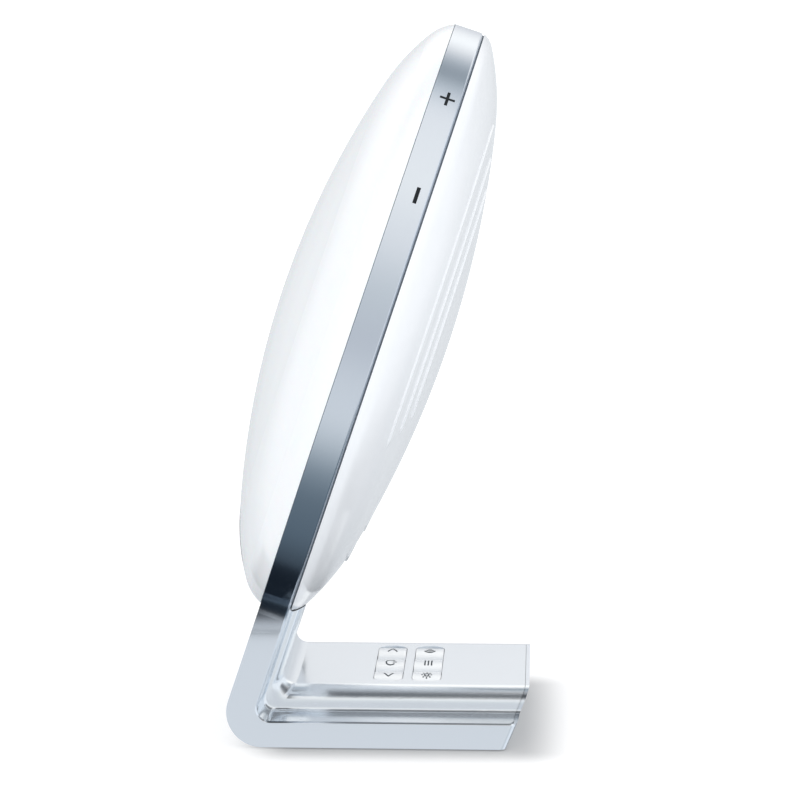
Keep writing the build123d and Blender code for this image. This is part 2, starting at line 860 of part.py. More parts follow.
with BuildPart() as reflector:
    # White dish with a flange on the hoop's rib and standoffs for the main board
    with BuildSketch(front_section):
        with BuildLine():
            Polyline(
                (0, reflector_floor - sheet),
                (reflector_floor_radius + sheet - slope_shift, reflector_floor - sheet),
                (reflector_mouth_radius + sheet - slope_shift, half_rib),
                (spigot_inner - reflector_fit, half_rib),
                (spigot_inner - reflector_fit, half_rib + sheet),
                (reflector_mouth_radius, half_rib + sheet),
                (reflector_floor_radius, reflector_floor),
                (0, reflector_floor),
                close=True,
            )
        make_face()
    revolve(axis=lamp_axis)
    with BuildSketch(lamp.offset(board_front)):
        with Locations(*standoff_points):
            Circle(standoff_radius)
    extrude(amount=standoff)
    with BuildSketch(lamp.offset(board_front)):
        with Locations(*standoff_points):
            Circle(screw_radius + screw_fit)
    extrude(amount=standoff, mode=Mode.SUBTRACT)
    with BuildSketch(lamp.offset(half_rib)):
        with Locations(*reflector_screw_places):
            Circle(screw_radius + screw_fit)
    extrude(amount=sheet, mode=Mode.SUBTRACT)

with BuildPart() as light_board:
    with BuildSketch(lamp.offset(reflector_floor)):
        Circle(light_board_radius)
    extrude(amount=board_thickness)

with BuildPart() as light_chips:
    with BuildSketch(lamp.offset(reflector_floor + board_thickness)):
        for ring in range(1, led_ring_count + 1):
            with PolarLocations(ring * led_ring_pitch, ring * led_count_step):
                Rectangle(led_size, led_size)
    extrude(amount=led_height)

taper_gain = display_depth * tan(radians(display_taper))
mouth_margin = display_fit + taper_gain
with BuildPart() as display_housing:
    # Tub that keeps the lamp's light off the digits; it narrows towards the reflector
    with BuildSketch(lamp.offset(display_face)):
        with Locations((0, display_up)):
            Rectangle(
                display_width + 2 * (mouth_margin + sheet),
                display_height + 2 * (mouth_margin + sheet),
            )
    extrude(amount=-(display_face - reflector_floor), taper=display_taper)
    with BuildSketch(lamp.offset(display_face)):
        with Locations((0, display_up)):
            Rectangle(display_width + 2 * mouth_margin, display_height + 2 * mouth_margin)
    extrude(
        amount=-(display_face - reflector_floor - sheet), taper=display_taper, mode=Mode.SUBTRACT
    )

with BuildPart() as display_module:
    with BuildSketch(lamp.offset(display_face)):
        with Locations((0, display_up)):
            Rectangle(display_width, display_height)
    extrude(amount=-display_depth)

with BuildPart() as main_board:
    with BuildSketch(lamp.offset(board_rear)):
        with Locations((0, main_board_up)):
            RectangleRounded(main_board_width, main_board_height, board_corner)
        with Locations(*standoff_points):
            Circle(screw_radius + screw_fit, mode=Mode.SUBTRACT)
    extrude(amount=board_thickness)

with BuildPart() as board_parts:
    # Processor, memory, coil and capacitors on the rear of the main board
    board_middle = lamp.offset(board_rear) * Location((0, main_board_up, 0))
    with BuildSketch(board_middle):
        with Locations(*chip_places):
            Rectangle(chip_size, chip_size)
    extrude(amount=-chip_height)
    with BuildSketch(board_middle):
        with Locations(coil_place):
            RectangleRounded(coil_size, coil_size, board_corner)
    extrude(amount=-coil_height)
    with BuildSketch(board_middle):
        with Locations(*capacitor_places):
            Circle(capacitor_radius)
    extrude(amount=-capacitor_height)


def socket(across, body_width, nose_radius, bore_radius, pin_radius):
    """Socket that stands on the main board with its nose through the rear shell."""
    floor_inside = socket_floor + socket_floor_thickness
    with BuildPart() as jack:
        with BuildSketch(lamp.offset(board_rear)):
            with Locations((across, socket_up)):
                Rectangle(body_width, body_width)
        extrude(amount=floor_inside - board_rear)
        with BuildSketch(lamp.offset(floor_inside)):
            with Locations((across, socket_up)):
                Circle(nose_radius)
        extrude(amount=-socket_floor_thickness)
        with BuildSketch(lamp.offset(socket_floor)):
            with Locations((across, socket_up)):
                Circle(bore_radius)
                if pin_radius:
                    Circle(pin_radius, mode=Mode.SUBTRACT)
        extrude(amount=socket_depth, mode=Mode.SUBTRACT)
    return jack


power_socket = socket(
    socket_spacing / 2, power_body, power_nose_radius, power_bore_radius, power_pin_radius
)
audio_socket = socket(
    -socket_spacing / 2, audio_body, audio_nose_radius, audio_bore_radius, 0
)
reflector_screws = screws(
    Plane(origin=lamp.offset(half_rib + sheet).origin, x_dir=(1, 0, 0), z_dir=-lamp.z_dir),
    reflector_screw_places,
    sheet + rib_thickness,
)
main_board_screws = screws(
    lamp.offset(board_rear), standoff_points, board_thickness + standoff
)

touch_radius = spigot_inner - touch_gap - touch_thickness / 2
touch_path = CenterArc((0, 0), touch_radius, 90 - touch_from, -touch_sweep)
with BuildPart() as touch_strip:
    # Flexible sensor strip inside the hoop, behind the plus and minus marks
    with BuildSketch(lamp.offset(-half_rib - spigot_clearance)):
        SlotArc(touch_path, touch_thickness)
    extrude(amount=-touch_width)

with BuildPart() as ribbon_cable:
    top_of_board = board_top + ribbon_thickness / 2
    front_of_board = board_front + ribbon_thickness / 2
    with BuildSketch(Plane.YZ.offset(ribbon_x)):
        with BuildLine():
            FilletPolyline(
                (key_board_middle - key_board_width / 2 + ribbon_lap, top_of_board),
                lean_line(ribbon_channel, top_of_board),
                lamp_point(ribbon_channel, -rib_inner_radius),
                lamp_point(front_of_board, board_low - ribbon_lap),
                lamp_point(front_of_board, board_low + ribbon_lap),
                radius=ribbon_bend,
            )
        trace(line_width=ribbon_thickness)
    extrude(amount=ribbon_width / 2, both=True)

# ---------------------------------------------------------------- files
pieces = {
    "frame": frame,
    "stand_cover": stand_cover,
    "front_diffuser": front_diffuser,
    "rear_shell": rear_shell,
    "reflector": reflector,
    "light_board": light_board,
    "light_chips": light_chips,
    "display_housing": display_housing,
    "display_module": display_module,
    "main_board": main_board,
    "board_parts": board_parts,
    "power_socket": power_socket,
    "audio_socket": audio_socket,
    "touch_strip": touch_strip,
    "ribbon_cable": ribbon_cable,
    "key_mat": key_mat,
    "key_board": key_board,
    "speaker_gasket": speaker_gasket_ring,
    "speaker_basket": speaker_basket,
    "speaker_cone": speaker_cone,
    "speaker_magnet": speaker_magnet,
    "ballast_plate": ballast_plate,
    "rubber_strips": rubber_strips,
    "reflector_screws": reflector_screws,
    "main_board_screws": main_board_screws,
    "key_board_screws": key_board_screws,
    "cover_screws": cover_screws,
}
for key in keys:
    pieces[key.part.label] = key

for name, piece in pieces.items():
    piece.part.label = name
    export_step(piece.part, f"parts/{name}.step")
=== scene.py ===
"""Sunrise alarm clock: finishes of every moulding, printed marks, key symbols and the studio.

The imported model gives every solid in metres, +Z up, with the light shining out towards -Y and the
foot running back to +Y. Sizes in this file are millimetres until a mesh or a lamp is made.
"""

import json
import logging
from dataclasses import dataclass, field
from enum import Enum
from math import cos, degrees, radians, sin, sqrt
from typing import Any

import bpy
from bpy.types import ID, Material, Node, NodeSocket, NodeTree, Object
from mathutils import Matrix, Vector


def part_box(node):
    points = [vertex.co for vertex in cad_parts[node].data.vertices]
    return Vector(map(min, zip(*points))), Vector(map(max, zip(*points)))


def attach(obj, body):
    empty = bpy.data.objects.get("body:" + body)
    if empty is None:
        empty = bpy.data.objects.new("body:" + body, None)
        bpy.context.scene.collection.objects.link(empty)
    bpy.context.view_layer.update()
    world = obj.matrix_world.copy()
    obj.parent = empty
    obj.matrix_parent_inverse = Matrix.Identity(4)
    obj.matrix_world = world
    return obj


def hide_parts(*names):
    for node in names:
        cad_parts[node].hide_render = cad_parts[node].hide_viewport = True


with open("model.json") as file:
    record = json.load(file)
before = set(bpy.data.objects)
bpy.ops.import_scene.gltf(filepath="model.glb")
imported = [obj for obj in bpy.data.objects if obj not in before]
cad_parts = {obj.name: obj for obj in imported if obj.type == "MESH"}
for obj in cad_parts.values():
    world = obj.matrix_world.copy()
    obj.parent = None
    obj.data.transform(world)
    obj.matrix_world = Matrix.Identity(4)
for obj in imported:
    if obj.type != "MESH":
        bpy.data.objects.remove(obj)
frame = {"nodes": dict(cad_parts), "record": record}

LOG = logging.getLogger("sunrise_clock")
MM = 0.001

Pair = tuple[float, float]
Triple = tuple[float, float, float]
Faces = list[tuple[int, ...]]
Shape = tuple[list[Vector], Faces]
Grid = list[list[Vector]]


# ---------------------------------------------------------------- colours and nodes
def linear(code: str) -> tuple[float, float, float, float]:
    """Turn an sRGB hex colour into the linear colour that the shaders take.

    Args:
        code: The colour as six hex digits after a hash.

    Returns:
        Linear red, green, blue and an alpha of one.
    """
    values = [int(code[place : place + 2], 16) / 255 for place in (1, 3, 5)]
    low = 0.04045
    red, green, blue = (v / 12.92 if v <= low else ((v + 0.055) / 1.055) ** 2.4 for v in values)
    return red, green, blue, 1.0


def add_node(
    tree: NodeTree, kind: str, inputs: dict[str | int, Any] | None = None, **settings: Any
) -> Node:
    """Add a node, set its properties, and set or link its inputs.

    Args:
        tree: The material's or world's node tree.
        kind: Blender's name of the node type.
        inputs: For each input a value, or the output or the node (its first output) to link.
        settings: Properties of the node itself.

    Returns:
        The new node.
    """
    node = tree.nodes.new(kind)
    for name, value in settings.items():
        setattr(node, name, value)
    for name, value in (inputs or {}).items():
        value = value.outputs[0] if isinstance(value, Node) else value
        if isinstance(value, NodeSocket):
            tree.links.new(value, node.inputs[name])
        else:
            node.inputs[name].default_value = value
    return node


def new_material(name: str) -> tuple[Material, NodeTree]:
    """Make a material with an empty node tree.

    Args:
        name: Its name.

    Returns:
        The material and its node tree.
    """
    material = bpy.data.materials.new(name)
    material.use_nodes = True
    material.node_tree.nodes.clear()
    return material, material.node_tree


def new_object(name: str, data: ID) -> Object:
    """Make an object and link it to the scene.

    Args:
        name: Its name.
        data: Its mesh, lamp or camera.

    Returns:
        The object.
    """
    made = bpy.data.objects.new(name, data)
    bpy.context.scene.collection.objects.link(made)
    return made


def arc(centre: Pair, radius: float, start: float, end: float, steps: int = 10) -> list[Pair]:
    """Points along an arc of so many chords, from its first angle to its last, in degrees."""
    turns = [radians(start + (end - start) * step / steps) for step in range(steps + 1)]
    return [(centre[0] + radius * cos(turn), centre[1] + radius * sin(turn)) for turn in turns]


EASED = "SMOOTHSTEP"
BLACK = (0.0, 0.0, 0.0, 1.0)
DIM = (0.2, 0.2, 0.2, 1.0)
WHITE = (1.0, 1.0, 1.0, 1.0)
TRACK_SHIFT = 0.37  # of every other row of fields between the tracks
TRACK_SQUASH = 0.6  # how narrow the fields in these rows are
TRACK_WIDTH = 0.06
COARSE_DETAIL = 2.0  # octaves of the noise
FINE_DETAIL = 4.0
STREAK_STRETCH = (0.06, 1.0, 1.0)  # long along X
FIBRE_STRETCH = (0.3, 1.0, 0.5)


class Pattern(Enum):
    """How the surface of a material is broken up."""

    ORANGE_PEEL = "orange peel"  # slow waves left by moulding or by a flowing lacquer
    FLAKES = "flakes"  # small facets that each lean their own way
    GRIT = "grit"  # fine matt texture etched into the mould
    BRUSHED = "brushed"  # streaks that all run one way
    FIBRES = "fibres"  # felted paper
    CELLS = "cells"  # open cells of foam
    TRACKS = "tracks"  # copper tracks under solder mask


@dataclass(frozen=True)
class Finish:
    """One real material and how its surface was made.

    Sizes are those of the real pattern in millimetres; the depth is what the light sees of it.
    """

    name: str
    colour: str
    second_colour: str
    roughness: float
    pattern: Pattern
    pattern_mm: float
    depth_mm: float
    metallic: float = 0.0
    ior: float = 1.5
    coat: float = 0.0
    coat_roughness: float = 0.05
    subsurface: float = 0.0
    subsurface_mm: float = 4.0  # how deep the light goes in
    roughness_swing: float = 0.03
    painted_pale_below: str = ""  # painted reflection: a paler colour below a height, lighter low down
    painted_pale_heights: Pair = (44.0, 58.0)  # where that starts and where it is gone

    def build(self) -> Material:
        """Make the material.

        Returns:
            A material with a patterned colour, roughness and bump.
        """
        material, tree = new_material(self.name)
        place = add_node(tree, "ShaderNodeTexCoord").outputs["Object"]
        height, tone = self._pattern(tree, place)
        first, second = linear(self.colour), linear(self.second_colour)
        colour = add_node(
            tree, "ShaderNodeMix", {"Factor": tone, 6: first, 7: second}, data_type="RGBA"
        ).outputs[2]
        # Painted reflection: the colour turns paler below a height, so the lower parts look lighter
        if self.painted_pale_below:
            low, high = (level * MM for level in self.painted_pale_heights)
            above = add_node(tree, "ShaderNodeSeparateXYZ", {0: place}).outputs["Z"]
            share = add_node(
                tree,
                "ShaderNodeMapRange",
                {"Value": above, "From Min": low, "From Max": high},
                interpolation_type=EASED,
            )
            lowest = linear(self.painted_pale_below)
            colour = add_node(
                tree, "ShaderNodeMix", {"Factor": share, 6: lowest, 7: colour}, data_type="RGBA"
            ).outputs[2]
        swing = self.roughness_swing
        roughness = add_node(
            tree,
            "ShaderNodeMapRange",
            {"Value": tone, "To Min": self.roughness - swing, "To Max": self.roughness + swing},
        )
        depth = self.depth_mm * MM
        bump = add_node(
            tree, "ShaderNodeBump", {"Strength": 1.0, "Distance": depth, "Height": height}
        )
        shader = add_node(
            tree,
            "ShaderNodeBsdfPrincipled",
            {
                "Base Color": colour,
                "Roughness": roughness,
                "Metallic": self.metallic,
                "Normal": bump,
                "Coat Weight": self.coat,
                "Coat Roughness": self.coat_roughness,
                "Subsurface Weight": self.subsurface,
                "Subsurface Scale": self.subsurface_mm * MM,
            },
        )
        if not self.metallic:
            shader.inputs["IOR"].default_value = self.ior
        add_node(tree, "ShaderNodeOutputMaterial", {"Surface": shader})
        return material

    def _pattern(self, tree: NodeTree, place: NodeSocket) -> tuple[NodeSocket, NodeSocket]:
        """Add the texture nodes of this finish's pattern.

        Args:
            tree: The material's node tree.
            place: Output that gives the place on the object, in metres.

        Returns:
            The height from 0 to 1, and the share of the second colour from 0 to 1.
        """
        scaled = {"Vector": place, "Scale": 1.0 / (self.pattern_mm * MM)}
        if self.pattern in (Pattern.FLAKES, Pattern.CELLS):
            cells = add_node(tree, "ShaderNodeTexVoronoi", scaled).outputs
            if self.pattern is Pattern.CELLS:
                return cells["Distance"], cells["Distance"]
            tone = add_node(tree, "ShaderNodeSeparateColor", {"Color": cells["Color"]}).outputs
            return tone["Green"], tone["Red"]
        if self.pattern is Pattern.TRACKS:
            levels = {"Color1": BLACK, "Color2": DIM, "Mortar": WHITE, "Mortar Size": TRACK_WIDTH}
            tracks = add_node(
                tree,
                "ShaderNodeTexBrick",
                {**scaled, **levels},
                offset=TRACK_SHIFT,
                squash=TRACK_SQUASH,
            ).outputs["Color"]
            return tracks, tracks
        detail = COARSE_DETAIL
        if self.pattern in (Pattern.BRUSHED, Pattern.FIBRES):
            detail = FINE_DETAIL
            stretch = STREAK_STRETCH if self.pattern is Pattern.BRUSHED else FIBRE_STRETCH
            scaled["Vector"] = add_node(
                tree, "ShaderNodeMapping", {"Vector": place, "Scale": stretch}
            )
        noise = add_node(tree, "ShaderNodeTexNoise", {**scaled, "Detail": detail}).outputs["Fac"]
        return noise, noise


# Silver metallic lacquer on moulded ABS: a soft mirror with a cold tone. Its flakes are finer
# than a tenth of a millimetre, so they are drawn coarser, and only faintly, to show at all
# Below the neck it is painted paler, a painted reflection that is lighter low down
SILVER_LACQUER = Finish(
    "silver_lacquer_on_abs", "#D6DEE8", "#D3DBE5", 0.22, Pattern.FLAKES, 0.3, 0.00004,
    metallic=1.0, coat=0.3, coat_roughness=0.12, roughness_swing=0.01, painted_pale_below="#E1E8F0",
)
# The cover is sprayed in the same lacquer over a white base, so it is smoother and paler
COVER_LACQUER = Finish(
    "silver_lacquer_on_cover", "#E6ECF2", "#E3E9EF", 0.17, Pattern.FLAKES, 0.3, 0.00003,
    metallic=0.86, coat=0.3, coat_roughness=0.08, roughness_swing=0.01,
)
# Opal acrylic, moulded to a gloss: white right through, a little light goes into it
OPAL_ACRYLIC = Finish(
    "opal_acrylic", "#F7F8F9", "#F4F6F8", 0.10, Pattern.ORANGE_PEEL, 14.0, 0.003,
    ior=1.49, coat=0.2, subsurface=0.08, roughness_swing=0.02,
)
# White ABS moulded to a gloss: a touch greyer and softer than the acrylic
WHITE_ABS = Finish(
    "white_gloss_abs", "#EFF1F4", "#EBEEF1", 0.14, Pattern.ORANGE_PEEL, 11.0, 0.003,
    ior=1.53, coat=0.3, roughness_swing=0.02,
)
# Pearl white lacquer on the keys: bright sheen along the crown
KEY_LACQUER = Finish(
    "pearl_lacquer_on_keys", "#F2F5F8", "#EEF2F6", 0.22, Pattern.FLAKES, 0.3, 0.00004,
    metallic=0.2, coat=0.5, coat_roughness=0.06, roughness_swing=0.01,
)
# Polypropylene filled with titanium white, matt so that it scatters the light
REFLECTOR_PP = Finish(
    "white_reflector_pp", "#F6F6F4", "#F0F1F0", 0.5, Pattern.GRIT, 0.8, 0.01, ior=1.49,
)
# Glass-epoxy board under green solder mask: the tracks stand out a little paler
SOLDER_MASK = Finish(
    "green_solder_mask", "#1C5A38", "#2F7A4B", 0.32, Pattern.TRACKS, 9.0, 0.035, ior=1.55,
)
# Phosphor in silicone over each diode: egg-yolk yellow, soft and dull
PHOSPHOR = Finish(
    "yellow_phosphor", "#EBCB52", "#DDB53B", 0.45, Pattern.GRIT, 0.4, 0.01, ior=1.41,
)
# Black ABS with an etched, matt surface
BLACK_ABS = Finish(
    "black_etched_abs", "#1B1C1E", "#242628", 0.55, Pattern.GRIT, 0.6, 0.015, ior=1.53,
)
# Polyimide film over copper: amber, glossy and slightly streaky
POLYIMIDE = Finish(
    "amber_polyimide_film", "#B4742C", "#C98A3C", 0.25, Pattern.BRUSHED, 1.2, 0.002, ior=1.7,
)
# Polyester ribbon with tinned strips inside
RIBBON_FILM = Finish(
    "white_polyester_ribbon", "#DAD9D2", "#C6C8C6", 0.35, Pattern.BRUSHED, 1.0, 0.01, ior=1.57,
)
# Silicone, pressed in a matt mould: milky grey
SILICONE = Finish(
    "milky_silicone", "#BFC2C4", "#B4B8BB", 0.5, Pattern.GRIT, 0.7, 0.01, ior=1.41,
    subsurface=0.2,
)
# Closed-cell foam: black, full of small pits
FOAM = Finish("black_foam", "#161617", "#262628", 0.85, Pattern.CELLS, 0.7, 0.12, ior=1.5)
# Thin slate grey rings between two mouldings, with no gloss: painted shade of the seam gaps
SEAM_SHADE = Finish("painted_seam_shade", "#5A636C", "#646D76", 0.9, Pattern.CELLS, 0.5, 0.01, ior=1.3)
# Steel with a bright zinc plate: bluish grey, faintly drawn
ZINC_STEEL = Finish(
    "zinc_plated_steel", "#B9BDC2", "#A5ABB2", 0.32, Pattern.BRUSHED, 0.8, 0.004, metallic=1.0,
)
# Felted paper of the loudspeaker cone
CONE_PAPER = Finish("cone_paper", "#1D1D1F", "#303033", 0.8, Pattern.FIBRES, 0.9, 0.04)
# Sintered ferrite: charcoal grey and dull
FERRITE = Finish("sintered_ferrite", "#3A3B3D", "#2E2F31", 0.6, Pattern.GRIT, 0.5, 0.02)
# Natural rubber with carbon black, moulded matt
RUBBER = Finish("black_rubber", "#232425", "#2C2D2F", 0.72, Pattern.GRIT, 0.5, 0.03, ior=1.52)
# Pad-printing ink, thin and matt: charcoal on the hoop, a little greyer on the keys
MARK_INK = Finish("black_pad_ink", "#12171B", "#191F24", 0.6, Pattern.GRIT, 0.4, 0.002, ior=1.3)
KEY_INK = Finish("grey_pad_ink", "#2C343B", "#363F47", 0.6, Pattern.GRIT, 0.4, 0.002, ior=1.3)

SLOT_FINISHES: dict[str, Finish] = {
    "silver": SILVER_LACQUER,
    "silver_cover": COVER_LACQUER,
    "opal": OPAL_ACRYLIC,
    "white": WHITE_ABS,
    "key_white": KEY_LACQUER,
    "reflector_white": REFLECTOR_PP,
    "board": SOLDER_MASK,
    "chip_yellow": PHOSPHOR,
    "black_plastic": BLACK_ABS,
    "copper_foil": POLYIMIDE,
    "ribbon": RIBBON_FILM,
    "silicone": SILICONE,
    "foam": FOAM,
    "steel": ZINC_STEEL,
    "paper": CONE_PAPER,
    "ferrite": FERRITE,
    "rubber": RUBBER,
}


@dataclass
class Mouldings:
    """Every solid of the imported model, dressed in the finish of its material slot."""

    built: dict[str, Material] = field(default_factory=dict)

    def material(self, slot: str) -> Material:
        """Return the material of a slot, made on first use.

        Args:
            slot: Name of the material slot in the record.

        Returns:
            The slot's material.
        """
        if slot not in self.built:
            self.built[slot] = SLOT_FINISHES[slot].build()
        return self.built[slot]

    def dress(self) -> None:
        """Give each node's object the material of its slot."""
        for subpart in frame["record"]["subparts"]:
            solid = frame["nodes"][subpart["node"]]
            for material_slot in solid.material_slots:
                material_slot.material = self.material(subpart["material_slot"])
            LOG.info("%s in %s", subpart["node"], subpart["material_slot"])


# ---------------------------------------------------------------- the lamp's frame of reference
@dataclass(frozen=True)
class Lamp:
    """Place and lean of the round head. Turns are measured from its top towards +X."""

    centre: Pair = (-4.609, 169.6)  # y and z of its centre
    tilt: float = 18.47  # degrees that it leans back
    radius: float = 126.0

    def point(self, radius: float, turn: float, forward: float) -> Vector:
        """Place in metres by radius, degrees from the top towards +X, and distance forward."""
        return self.place(radius * sin(radians(turn)), radius * cos(radians(turn)), forward)

    def place(self, right: float, up: float, forward: float) -> Vector:
        """Place given by distances along the lamp's own directions.

        Args:
            right: Distance towards +X.
            up: Distance towards the lamp's top.
            forward: Distance forward of the hoop's middle plane.

        Returns:
            The place in metres.
        """
        lean = radians(self.tilt)
        return MM * Vector(
            (
                right,
                self.centre[0] + up * sin(lean) - forward * cos(lean),
                self.centre[1] + up * cos(lean) + forward * sin(lean),
            )
        )


LAMP = Lamp()


def add_piece(name: str, points: list[Vector], faces: Faces, material: Material) -> Object:
    """Make a smooth-shaded object from points and faces.

    Args:
        name: Name of the piece.
        points: Its corners in metres.
        faces: Corner numbers of each face.
        material: Its material.

    Returns:
        The object, linked to the scene.
    """
    mesh = bpy.data.meshes.new(name)
    mesh.from_pydata([tuple(point) for point in points], [], faces)
    mesh.materials.append(material)
    for polygon in mesh.polygons:
        polygon.use_smooth = True
    return new_object(name, mesh)


def turns_round(segments: int) -> list[float]:
    """Evenly spaced turns all the way round, in degrees."""
    return [360 * place / segments for place in range(segments)]


def lathe(rows: Grid) -> Shape:
    """Join closed rings of points into a skin, each ring with the next.

    Args:
        rows: Rings with the same number of points, the last one joined to the first.

    Returns:
        The points and the faces.
    """
    around = len(rows[0])
    faces = []
    for row in range(len(rows)):
        here, after = row * around, (row + 1) % len(rows) * around
        for place in range(around):
            beside = (place + 1) % around
            faces.append((here + place, after + place, after + beside, here + beside))
    return [point for row in rows for point in row], faces


def smooth_step(value: float) -> float:
    """Ease from 0 to 1 without a corner at either end."""
    held = min(max(value, 0.0), 1.0)
    return held * held * (3 - 2 * held)


@dataclass
class RearShell:
    """White rear dome with its raised arcs and the recess that the sockets open into."""

    apex: float = 33.3
    cap_edge: Pair = (90.6, 23.3)  # radius and height at which the flat cap ends
    rim_height: float = 6.55
    rim_round: float = 10.3
    rim_lean: float = 25.3
    wall: float = 2.2
    spigot: Pair = (121.8, 119.8)  # outside and inside radius of the edge in the hoop
    half_rib: float = 1.2
    crests: tuple[float, ...] = (70.8, 84.4, 98.4)
    step: float = 0.5
    low_steps: tuple[float, ...] = (0.0, 0.4, 0.8)
    run: float = 8.0  # over which each arc fades towards the middle
    side_arc: Pair = (14.0, 109.0)  # degrees from the top
    low_arc: float = 27.0  # degrees each side of the bottom
    end_fade: float = 2.0  # degrees over which an arc's end comes up
    drop: float = 0.35  # width of the step
    recess_up: float = -91.5
    recess_size: Pair = (34.0, 9.0)
    recess_floor: float = 21.2
    floor_wall: float = 1.8
    hole_spacing: float = 18.0
    hole_radii: Pair = (4.3, 3.3)  # power on the +X side, sound on the other
    pad_sink: float = 0.4  # how far the recess's wall reaches into the dome's
    segments: int = 360
    hole_segments: int = 32
    end_segments: int = 16  # round each end of the recess
    crease: float = 25.0  # degrees from which an edge stays sharp
    # Rings of points: evenly over the cap and the shoulder, and round each crest at these
    # shares of its run and these distances beyond its step
    cap_rings: tuple[float, int] = (4.0, 14)  # spacing and count
    shoulder_rings: tuple[float, float, int] = (100.5, 1.5, 18)  # start, spacing and count
    run_shares: tuple[float, ...] = (1.0, 0.75, 0.5, 0.25, 0.08, 0.02)
    past_step: Pair = (0.1, 1.2)
    past_crest: float = 3.0  # one more ring, from the crest itself
    inner_rings: tuple[float, int] = (12.0, 9)  # spacing and count, inside
    inner_edge: Pair = (114.0, 118.0)
    pole: float = 0.01  # radius of the ring in the very middle

    def arcs(self) -> list[tuple[float, float, float]]:
        """Work out the three arcs of the section, each tangent to the next.

        Returns:
            For cap, shoulder and rim: centre radius, centre height and size.
        """
        edge = Vector(self.cap_edge)
        fall = self.apex - edge.y
        cap_size = (edge.x**2 + fall**2) / (2 * fall)
        cap_centre = Vector((0.0, self.apex - cap_size))
        lean = radians(self.rim_lean)
        rim_normal = Vector((cos(lean), sin(lean)))
        rim_centre = Vector((LAMP.radius, self.rim_height)) - rim_normal * self.rim_round
        cap_normal = (edge - cap_centre).normalized()
        across = edge - rim_centre
        size = (across.length_squared - self.rim_round**2) / (
            2 * (across.dot(cap_normal) - self.rim_round)
        )
        centre = edge - cap_normal * size
        return [
            (cap_centre.x, cap_centre.y, cap_size),
            (centre.x, centre.y, size),
            (rim_centre.x, rim_centre.y, self.rim_round),
        ]

    def height(self, radius: float, inset: float = 0.0) -> float:
        """Height of the plain dome, or of the surface a wall inside it.

        Args:
            radius: Distance from the lamp's axis.
            inset: Distance in from the outside.

        Returns:
            Height above the hoop's middle plane.
        """
        cap, shoulder, rim = self.arcs()
        cap_end = cap[0] + (self.cap_edge[0] - cap[0]) * (cap[2] - inset) / cap[2]
        turn = (Vector(rim[:2]) - Vector(shoulder[:2])).normalized()
        rim_start = shoulder[0] + turn.x * (shoulder[2] - inset)
        centre, low, size = cap if radius <= cap_end else shoulder if radius <= rim_start else rim
        return low + sqrt((size - inset) ** 2 - (radius - centre) ** 2)

    def rise(self, radius: float, turn: float) -> float:
        """Height of the raised arcs above the plain dome.

        Args:
            radius: Distance from the lamp's axis.
            turn: Degrees from the top.

        Returns:
            The height.
        """
        from_top = abs((turn + 180) % 360 - 180)
        start, end = self.side_arc
        side = smooth_step((from_top - start) / self.end_fade)
        side *= smooth_step((end - from_top) / self.end_fade)
        low = smooth_step((from_top - 180 + self.low_arc) / self.end_fade)
        total = 0.0
        for crest, low_step in zip(self.crests, self.low_steps):
            if crest - self.run < radius <= crest + self.drop:
                if radius <= crest:
                    shape = (radius - crest + self.run) / self.run
                else:
                    shape = (crest + self.drop - radius) / self.drop
                total += shape * (side * self.step + low * low_step)
        return total

    def ring_radii(self) -> list[float]:
        """Radii of the rings of points: close together where the section turns or steps.

        Returns:
            The radii from the outside in.
        """
        spacing, number = self.cap_rings
        radii = {spacing * count for count in range(1, number + 1)}
        start, spacing, number = self.shoulder_rings
        radii |= {start + spacing * count for count in range(number)}
        for crest in self.crests:
            radii |= {crest - self.run * share for share in self.run_shares}
            radii |= {crest, crest + self.drop * 0.5, crest + self.drop, crest + self.past_crest}
            radii |= {crest + self.drop + past for past in self.past_step}
        return sorted((size for size in radii if size < LAMP.radius), reverse=True)

    def skin(self) -> Shape:
        """Skin of the closed wall, from the middle inside, out round the rim, to the middle.

        Returns:
            The points and the faces.
        """
        outside, inside = self.spigot
        spacing, number = self.inner_rings
        section = [(self.pole, self.apex - self.wall, False)]
        inner_radii = [spacing * count for count in range(1, number + 1)]
        inner_radii += [*self.inner_edge, inside]
        section += [(size, self.height(size, self.wall), False) for size in inner_radii]
        section += [(inside, self.half_rib, False), (outside, self.half_rib, False)]
        section += [(outside, self.rim_height, False), (LAMP.radius, self.rim_height, False)]
        section += [(size, self.height(size), True) for size in self.ring_radii()]
        section.append((self.pole, self.apex, False))
        rows = []
        for radius, height, outer in section:
            row = []
            for turn in turns_round(self.segments):
                lift = self.rise(radius, turn) if outer else 0.0
                row.append(LAMP.point(radius, turn, -(height + lift)))
            rows.append(row)
        return lathe(rows)

    def prism(self, outline: list[Pair], back: float, front: float | None) -> Shape:
        """Prism along the lamp's axis, to use as a cutter or as a pad under the dome.

        Args:
            outline: Its corners to the right and up.
            back: Where it starts, as a height behind the hoop's middle plane.
            front: Where it ends, or None to follow just under the dome.

        Returns:
            The points and the faces.
        """
        count = len(outline)
        ends = [
            self.height(sqrt(right**2 + up**2)) - self.pad_sink if front is None else front
            for right, up in outline
        ]
        points = [LAMP.place(right, up, -back) for right, up in outline]
        points += [LAMP.place(right, up, -end) for (right, up), end in zip(outline, ends)]
        faces: Faces = []
        for place in range(count):
            beside = (place + 1) % count
            faces.append((place, beside, count + beside, count + place))
        faces += [tuple(range(count))[::-1], tuple(range(count, 2 * count))]
        return points, faces

    def stadium(self, length: float, width: float) -> list[Pair]:
        """Outline of the recess, grown or not.

        Args:
            length: Overall length.
            width: Overall width.

        Returns:
            Its corners to the right and up.
        """
        half, reach = width / 2, (length - width) / 2
        right = arc((reach, self.recess_up), half, -90, 90, self.end_segments)
        return right + arc((-reach, self.recess_up), half, 90, 270, self.end_segments)

